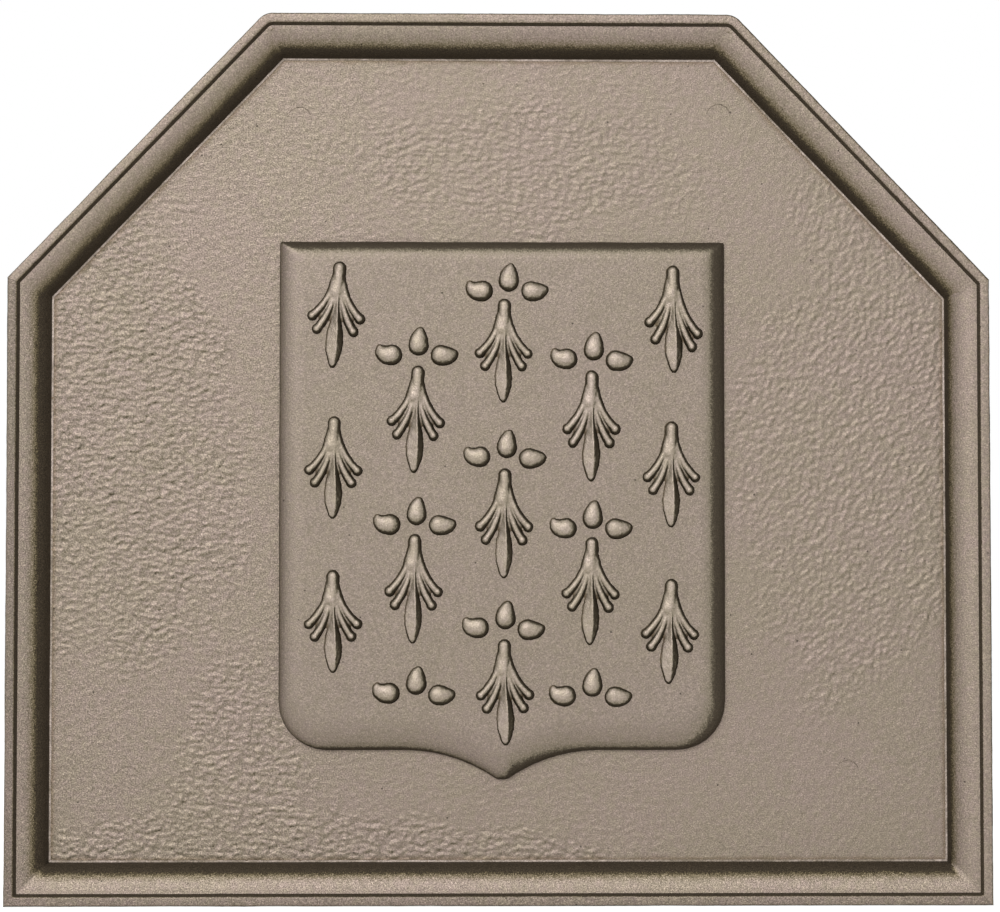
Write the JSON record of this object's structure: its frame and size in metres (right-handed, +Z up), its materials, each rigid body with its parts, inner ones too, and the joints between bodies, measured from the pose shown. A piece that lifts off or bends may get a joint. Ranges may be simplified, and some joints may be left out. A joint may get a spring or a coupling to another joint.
{
  "type": "fireback",
  "caption": "Upright cast-iron fireback with slanted top corners, a moulded frame and a raised shield of ermine spots; guards a hearth wall and throws heat forward.",
  "frame": {"origin": "under the middle of the plate's depth, in the middle of the base edge it stands on", "axes": "+Z up the plate, +X to the right as seen from the front, the ornamented front faces -Y and the flat back faces +Y"},
  "size_m": [0.5, 0.024, 0.454],
  "materials": {
    "cast_field": "graphite-blacked cast iron with a hammered skin, satin",
    "cast_frame": "graphite-blacked cast iron, fine sand skin, satin",
    "cast_relief": "graphite-blacked cast iron, rubbed smooth on the high spots, satin"
  },
  "bodies": {
    "root": {"back_plate": "cast_field", "shield": "cast_field", "moulding_bottom": "cast_frame", "moulding_left": "cast_frame", "moulding_upper_left": "cast_frame", "moulding_top": "cast_frame", "moulding_upper_right": "cast_frame", "moulding_right": "cast_frame", "tail_left_1": "cast_relief", "tail_left_2": "cast_relief", "tail_left_3": "cast_relief", "tail_inner_left_1": "cast_relief", "tail_inner_left_2": "cast_relief", "tail_middle_1": "cast_relief", "tail_middle_2": "cast_relief", "tail_middle_3": "cast_relief", "tail_inner_right_1": "cast_relief", "tail_inner_right_2": "cast_relief", "tail_right_1": "cast_relief", "tail_right_2": "cast_relief", "tail_right_3": "cast_relief", "drops_inner_left_1": "cast_relief", "drops_inner_left_2": "cast_relief", "drops_inner_left_3": "cast_relief", "drops_middle_1": "cast_relief", "drops_middle_2": "cast_relief", "drops_middle_3": "cast_relief", "drops_inner_right_1": "cast_relief", "drops_inner_right_2": "cast_relief", "drops_inner_right_3": "cast_relief"}
  },
  "joints": []
}
